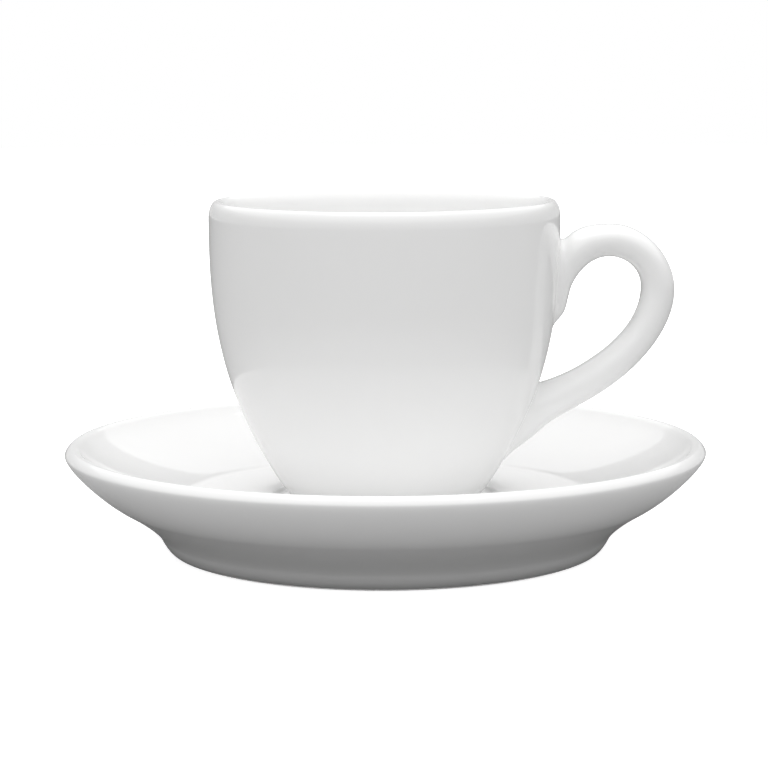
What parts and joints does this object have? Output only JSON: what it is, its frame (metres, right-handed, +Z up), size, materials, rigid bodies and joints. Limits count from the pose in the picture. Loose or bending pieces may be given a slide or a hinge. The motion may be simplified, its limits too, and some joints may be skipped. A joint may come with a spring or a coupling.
{
  "type": "espresso cup with saucer",
  "caption": "Small thick-walled porcelain cup with a looped handle, standing loose in the seat of a round footed saucer.",
  "frame": {"origin": "middle of the saucer's standing ring, on the table", "axes": "+Z up along the common axis of cup and saucer, +X along the cup's handle"},
  "size_m": [0.12, 0.12, 0.0656],
  "materials": {
    "cup_glaze": "clear gloss glaze on white porcelain",
    "handle_glaze": "clear gloss glaze on white porcelain",
    "saucer_glaze": "clear gloss glaze on white porcelain"
  },
  "bodies": {
    "saucer": {"saucer": "saucer_glaze"},
    "cup": {"cup_body": "cup_glaze", "cup_handle": "handle_glaze"}
  },
  "joints": [
    {"name": "cup_lift", "type": "slide", "parent": "saucer", "child": "cup", "axis": [0, 0, 1], "range_m": [0, 0.06]}
  ]
}
